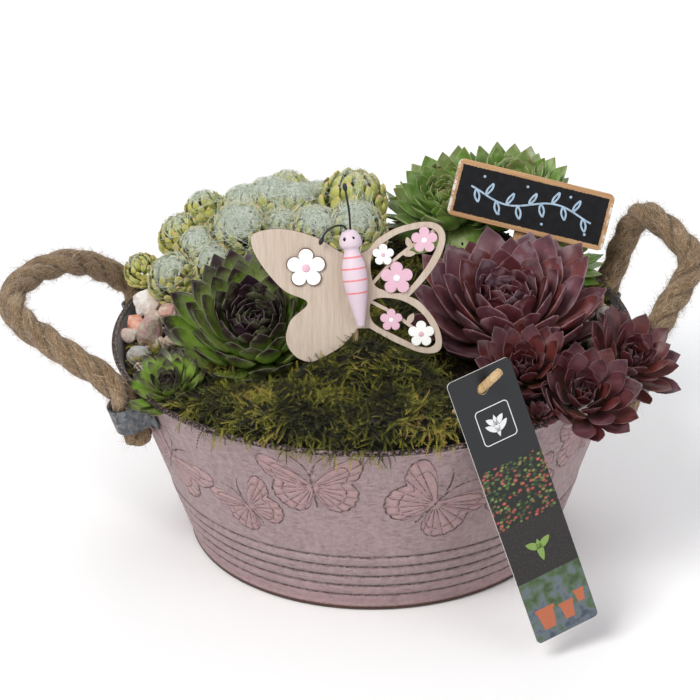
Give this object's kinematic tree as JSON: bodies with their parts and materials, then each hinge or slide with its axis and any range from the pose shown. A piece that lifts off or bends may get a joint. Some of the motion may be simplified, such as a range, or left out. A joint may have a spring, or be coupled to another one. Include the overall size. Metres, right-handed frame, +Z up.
{
  "type": "succulent dish garden",
  "caption": "Round embossed zinc tub with rope handles, planted with houseleeks in soil and moss, with gravel, a wooden butterfly pick, a blank chalkboard sign and a hang tag.",
  "frame": {"origin": "centre of the flat underside of the tub", "axes": "+Z up out of the tub, -Y towards the front where the moss and the tag are, +X to the right towards the wine-red rosettes"},
  "size_m": [0.3754, 0.2944, 0.2198],
  "materials": {
    "zinc_pink": "dusty pink paint rubbed back over zinc, brown-black in the grooves, satin",
    "zinc_grey": "bare galvanised sheet, dull",
    "jute": "three-strand natural jute rope, hairy, matt",
    "soil": "dark damp potting mix, matt",
    "burgundy_leaf": "waxy wine-red leaf, paler margin, satin",
    "tipped_leaf": "green leaf with a near-black purple tip, satin",
    "green_leaf": "fresh green leaf with a brown point, satin",
    "cobweb_leaf": "pale green scale leaf under white web hairs, matt",
    "moss": "green and olive sphagnum strands, matt",
    "gravel_pink": "broken pinkish stone, matt",
    "gravel_white": "broken white and grey stone, matt",
    "plywood": "thin light plywood, fine vertical grain, unvarnished",
    "flower_white": "white painted plywood flower, satin",
    "flower_pink": "pink painted plywood flower, satin",
    "body_paint": "pink painted turned wood with rose stripes, gloss",
    "black_wire": "black coated wire, satin",
    "sign_wood": "tan stained wood, worn pale on the edges",
    "chalkboard": "black chalkboard paint on a tan wooden board with its border bare, matt",
    "tag_card": null,
    "pin_wood": "light turned wood, matt"
  },
  "bodies": {
    "root": {"tub": "zinc_pink", "ear_left_front": "zinc_grey", "ear_left_rear": "zinc_grey", "ear_right_front": "zinc_grey", "ear_right_rear": "zinc_grey", "rope_left": "jute", "rope_right": "jute", "soil": "soil", "burgundy_rosette": "burgundy_leaf", "burgundy_offset_1": "burgundy_leaf", "burgundy_offset_2": "burgundy_leaf", "burgundy_offset_3": "burgundy_leaf", "burgundy_offset_4": "burgundy_leaf", "burgundy_offset_5": "burgundy_leaf", "dark_tipped_rosette": "tipped_leaf", "dark_tipped_offset": "tipped_leaf", "green_rosette_1": "green_leaf", "green_rosette_2": "green_leaf", "green_rosette_3": "green_leaf", "green_rosette_4": "green_leaf", "cobweb_rosette_1": "cobweb_leaf", "cobweb_rosette_2": "cobweb_leaf", "cobweb_rosette_3": "cobweb_leaf", "cobweb_rosette_4": "cobweb_leaf", "cobweb_rosette_5": "cobweb_leaf", "cobweb_rosette_6": "cobweb_leaf", "cobweb_rosette_7": "cobweb_leaf", "cobweb_rosette_8": "cobweb_leaf", "cobweb_rosette_9": "cobweb_leaf", "cobweb_rosette_10": "cobweb_leaf", "cobweb_rosette_11": "cobweb_leaf", "cobweb_rosette_12": "cobweb_leaf", "cobweb_rosette_13": "cobweb_leaf", "cobweb_rosette_14": "cobweb_leaf", "cobweb_rosette_15": "cobweb_leaf", "cobweb_rosette_16": "cobweb_leaf", "moss": "moss", "stone_1": "gravel_white", "stone_2": "gravel_pink", "stone_3": "gravel_pink", "stone_4": "gravel_pink", "stone_5": "gravel_white", "stone_6": "gravel_white", "stone_7": "gravel_pink", "stone_8": "gravel_white", "pick_board": "plywood", "pick_flower_1": "flower_white", "pick_flower_2": "flower_white", "pick_flower_3": "flower_pink", "pick_flower_4": "flower_pink", "pick_flower_5": "flower_pink", "pick_flower_6": "flower_white", "pick_body": "body_paint", "pick_antenna_1": "black_wire", "pick_antenna_2": "black_wire", "pick_stick": "pin_wood", "sign_board": "chalkboard", "sign_stake": "sign_wood", "tag_card": "tag_card", "tag_pin": "pin_wood"}
  },
  "joints": []
}
